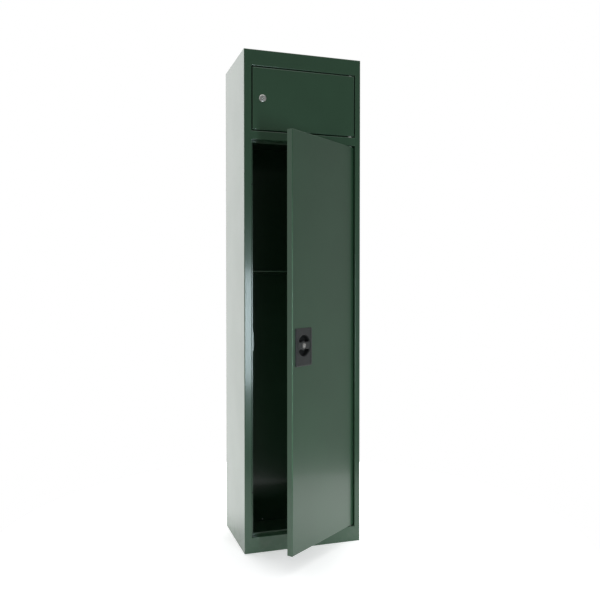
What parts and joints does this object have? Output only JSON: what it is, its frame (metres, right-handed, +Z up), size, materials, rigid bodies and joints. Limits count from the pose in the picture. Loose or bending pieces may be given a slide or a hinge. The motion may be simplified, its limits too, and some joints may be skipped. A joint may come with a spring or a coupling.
{
  "type": "parcel drop box",
  "caption": "Tall narrow steel parcel cabinet with a small lockable door above a tall hinged door worked by a recessed turn handle.",
  "frame": {"origin": "centre of the underside of the steel cabinet, doors aside", "axes": "+Z up, +X to the right seen from the front, +Y from the front into the depth"},
  "size_m": [0.37, 0.4492, 1.5],
  "materials": {
    "carcass_paint": "dark green semi-gloss powder coat on sheet steel",
    "door_paint": "dark green semi-gloss powder coat on sheet steel",
    "zinc_plate": "bright zinc plate on steel",
    "nickel_plate": "satin nickel plate",
    "black_plastic": "fine-grained black moulded plastic",
    "white_nylon": "natural white nylon",
    "black_rubber": "soft black rubber"
  },
  "bodies": {
    "carcass": {"left_side_panel": "carcass_paint", "right_side_panel": "carcass_paint", "left_stile": "carcass_paint", "right_stile": "carcass_paint", "top_panel": "carcass_paint", "divider_panel": "carcass_paint", "base_panel": "carcass_paint", "back_panel": "carcass_paint", "back_rivets": "zinc_plate", "hinge_plates": "carcass_paint", "upper_hinge_pins": "zinc_plate", "lower_hinge_pins": "zinc_plate", "thrust_washers": "nickel_plate", "stop_buffers": "black_rubber", "cam_keeper": "carcass_paint", "shelf": "carcass_paint", "shelf_supports": "carcass_paint"},
    "upper_door": {"upper_door_pan": "door_paint", "upper_door_bushes": "white_nylon", "upper_lock_body": "nickel_plate", "upper_lock_nut": "zinc_plate"},
    "upper_lock": {"upper_lock_plug": "nickel_plate", "upper_lock_cam": "zinc_plate", "upper_cam_screw": "zinc_plate"},
    "lower_door": {"lower_door_pan": "door_paint", "lower_door_stiffener": "door_paint", "lower_door_bushes": "white_nylon", "lock_bracket": "door_paint", "handle_plate": "black_plastic", "plate_screws": "zinc_plate", "lock_case": "zinc_plate", "lock_case_cover": "zinc_plate", "case_screws": "zinc_plate", "rod_guides": "white_nylon", "guide_screws": "zinc_plate"},
    "handle": {"turn_handle": "black_plastic", "cylinder_housing": "nickel_plate", "handle_spindle": "zinc_plate", "drive_pinion": "nickel_plate", "side_cam": "zinc_plate", "cam_screw": "zinc_plate"},
    "key_core": {"key_plug": "nickel_plate"},
    "upper_rod": {"upper_latch_rod": "zinc_plate"},
    "lower_rod": {"lower_latch_rod": "zinc_plate"}
  },
  "joints": [
    {"name": "upper_door_hinge", "type": "hinge", "parent": "carcass", "child": "upper_door", "pos_m": [0.153, -0.1245, 1.3565], "axis": [0, 0, 1], "range_deg": [0, 110]},
    {"name": "upper_lock_turn", "type": "hinge", "parent": "upper_door", "child": "upper_lock", "pos_m": [-0.1285, -0.1325, 1.3575], "axis": [0, 1, 0], "range_deg": [0, 90]},
    {"name": "lower_door_hinge", "type": "hinge", "parent": "carcass", "child": "lower_door", "pos_m": [0.153, -0.1245, 0.6415], "axis": [0, 0, 1], "range_deg": [-36.5, 73.5]},
    {"name": "handle_turn", "type": "hinge", "parent": "lower_door", "child": "handle", "pos_m": [-0.05124, -0.28558, 0.6335], "axis": [-0.5948, 0.8039, 0], "range_deg": [0, 90]},
    {"name": "key_turn", "type": "hinge", "parent": "handle", "child": "key_core", "pos_m": [-0.05124, -0.28558, 0.6335], "axis": [-0.5948, 0.8039, 0], "range_deg": [0, 90]},
    {"name": "upper_rod_slide", "type": "slide", "parent": "lower_door", "child": "upper_rod", "axis": [0, 0, 1], "range_m": [0, 0.01659]},
    {"name": "lower_rod_slide", "type": "slide", "parent": "lower_door", "child": "lower_rod", "axis": [0, 0, -1], "range_m": [0, 0.01659]}
  ],
  "couplings": [
    {"joint": "upper_rod_slide", "follows": "handle_turn", "m_per_rad": 0.0105},
    {"joint": "lower_rod_slide", "follows": "handle_turn", "m_per_rad": 0.0105}
  ]
}
